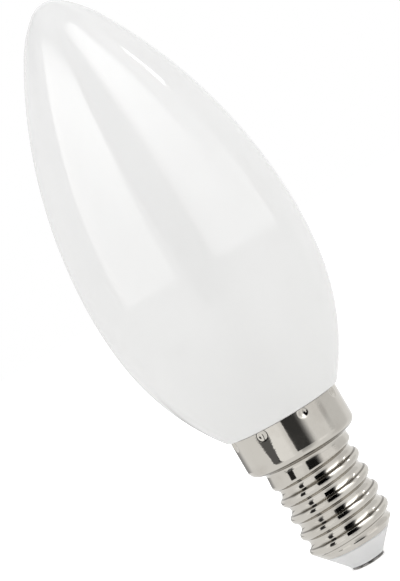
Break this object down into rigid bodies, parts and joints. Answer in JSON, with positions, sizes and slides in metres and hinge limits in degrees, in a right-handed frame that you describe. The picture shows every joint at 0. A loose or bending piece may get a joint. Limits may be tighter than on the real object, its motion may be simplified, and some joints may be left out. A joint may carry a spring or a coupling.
{
  "type": "led candle lamp",
  "caption": "Candle-shaped LED lamp with an opal white glass bulb cemented into a small nickel-plated screw cap.",
  "frame": {"origin": "centre of the end contact's flat face", "axes": "+Z along the lamp's axis, from the end contact to the tip of the glass"},
  "size_m": [0.0346, 0.0346, 0.095],
  "materials": {
    "opal_glass": "gloss",
    "nickel_plate": "polished",
    "basing_cement": "matte",
    "white_insulator": "satin",
    "tinned_contact": "satin",
    "board_laminate": "satin",
    "capacitor_sleeve": "gloss",
    "chip_moulding": "matte",
    "ferrite": "matte",
    "tinned_wire": "satin"
  },
  "bodies": {
    "root": {"glass_bulb": "opal_glass", "cap_shell": "nickel_plate", "basing_cement": "basing_cement", "insulator": "white_insulator", "end_contact": "tinned_contact", "driver_board": "board_laminate", "smoothing_capacitor": "capacitor_sleeve", "bridge_rectifier": "chip_moulding", "driver_chip": "chip_moulding", "inductor": "ferrite", "line_lead": "tinned_wire", "neutral_lead": "tinned_wire", "bulb_lead_left": "tinned_wire", "bulb_lead_right": "tinned_wire"}
  },
  "joints": []
}
